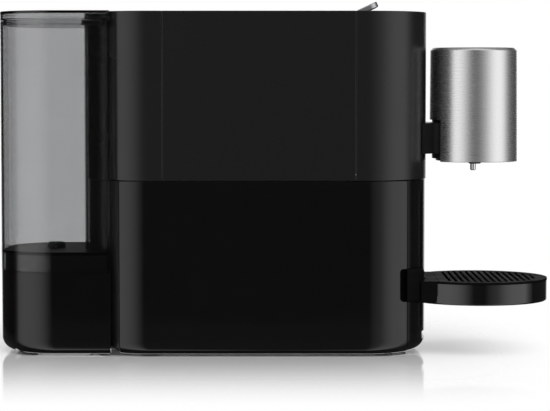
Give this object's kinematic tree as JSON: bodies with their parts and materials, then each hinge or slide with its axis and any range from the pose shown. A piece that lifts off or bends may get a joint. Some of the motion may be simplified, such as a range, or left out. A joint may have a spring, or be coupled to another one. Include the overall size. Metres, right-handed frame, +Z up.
{
  "type": "pod coffee machine",
  "caption": "Slim pod coffee machine with a clear rear tank, a top capsule lever, a round steel dispensing head with a whisk spindle, and a height-adjustable cup tray.",
  "frame": {"origin": "on the floor, at the centre of the whole machine's box", "axes": "+X across the width, +Y towards the tank at the back, +Z up; the tray is at -Y"},
  "size_m": [0.12, 0.444, 0.2817],
  "materials": {
    "satin_black": "satin moulded",
    "gloss_black": "polished",
    "deck_black": "fine matt",
    "steel": "brushed round the axis",
    "chrome": "polished",
    "lever_metal": "polished",
    "smoke_clear": "clear smoked plastic",
    "rubber_black": "matt",
    "grey_metal": "satin",
    "zinc": "zinc plated",
    "grey_plastic": "moulded",
    "white_plastic": "moulded",
    "brass": "machined",
    "alloy": "cast",
    "hose_silicone": "translucent silicone",
    "board": "circuit board",
    "cap_glass": "glossy touch cover"
  },
  "bodies": {
    "chassis": {"base_plate": "grey_plastic", "feet": "rubber_black", "base_screws": "zinc", "frame_left": "grey_metal", "frame_right": "grey_metal", "lower_panel_left": "gloss_black", "lower_panel_right": "gloss_black", "rear_panel": "deck_black", "upper_side_left": "satin_black", "upper_side_right": "satin_black", "upper_front_cover": "satin_black", "upper_rear_cover": "satin_black", "top_deck": "deck_black", "capsule_chute": "grey_plastic", "lever_pin": "zinc", "brew_frame": "grey_plastic", "brew_chamber": "brass", "chamber_seal": "rubber_black", "drop_chute": "grey_plastic", "head_arm": "satin_black", "arm_screws": "zinc", "head_shell": "steel", "head_core": "grey_plastic", "head_base": "satin_black", "head_cap": "cap_glass", "whisk_motor": "grey_metal", "coffee_outlet": "chrome", "coffee_hose": "hose_silicone", "tank_dock": "gloss_black", "dock_spigot": "grey_plastic", "spigot_seal": "rubber_black", "pump": "grey_metal", "pump_mounts": "rubber_black", "thermoblock": "alloy", "flow_meter": "white_plastic", "power_board": "board", "control_board": "board", "suction_hose": "hose_silicone", "pressure_hose": "hose_silicone", "cord_gland": "rubber_black"},
    "lever": {"capsule_lever": "lever_metal"},
    "piston": {"brew_piston": "grey_plastic", "piercing_plate": "zinc"},
    "drawer": {"bin_front": "gloss_black", "capsule_bin": "grey_plastic", "tray_rail": "grey_metal"},
    "tray": {"tray_carrier": "gloss_black", "tray_slider": "grey_plastic"},
    "grid": {"drip_grid": "gloss_black"},
    "spindle": {"whisk_spindle": "chrome"},
    "tank": {"tank": "smoke_clear", "valve_cage": "deck_black", "valve_spring": "zinc"},
    "lid": {"tank_lid": "smoke_clear"},
    "valve": {"valve_plunger": "white_plastic", "valve_seal": "rubber_black"}
  },
  "joints": [
    {"name": "lever_hinge", "type": "hinge", "parent": "chassis", "child": "lever", "pos_m": [0, 0.03, 0.267], "axis": [-1, 0, 0], "range_deg": [0, 70]},
    {"name": "piston_slide", "type": "slide", "parent": "chassis", "child": "piston", "axis": [0, -1, 0], "range_m": [0, 0.03215], "deforming": ["coffee_hose"]},
    {"name": "drawer_slide", "type": "slide", "parent": "chassis", "child": "drawer", "axis": [0, -1, 0], "range_m": [0, 0.12]},
    {"name": "tray_height", "type": "slide", "parent": "drawer", "child": "tray", "axis": [0, 0, 1], "range_m": [-0.028, 0.062]},
    {"name": "grid_lift", "type": "slide", "parent": "tray", "child": "grid", "axis": [0, 0, 1], "range_m": [0, 0.03]},
    {"name": "whisk_spin", "type": "hinge", "parent": "chassis", "child": "spindle", "pos_m": [0, -0.1614, 0.15], "axis": [0, 0, 1], "continuous": true},
    {"name": "tank_lift", "type": "slide", "parent": "chassis", "child": "tank", "axis": [0, 0, 1], "range_m": [0, 0.1]},
    {"name": "lid_lift", "type": "slide", "parent": "tank", "child": "lid", "axis": [0, 0, 1], "range_m": [0, 0.03]},
    {"name": "valve_close", "type": "slide", "parent": "tank", "child": "valve", "axis": [0, 0, -1], "range_m": [0, 0.001], "deforming": ["valve_spring"]}
  ],
  "couplings": [
    {"joint": "piston_slide", "follows": "lever_hinge", "m_per_rad": 0.026291},
    {"joint": "valve_close", "follows": "tank_lift", "ratio": 0.01}
  ]
}
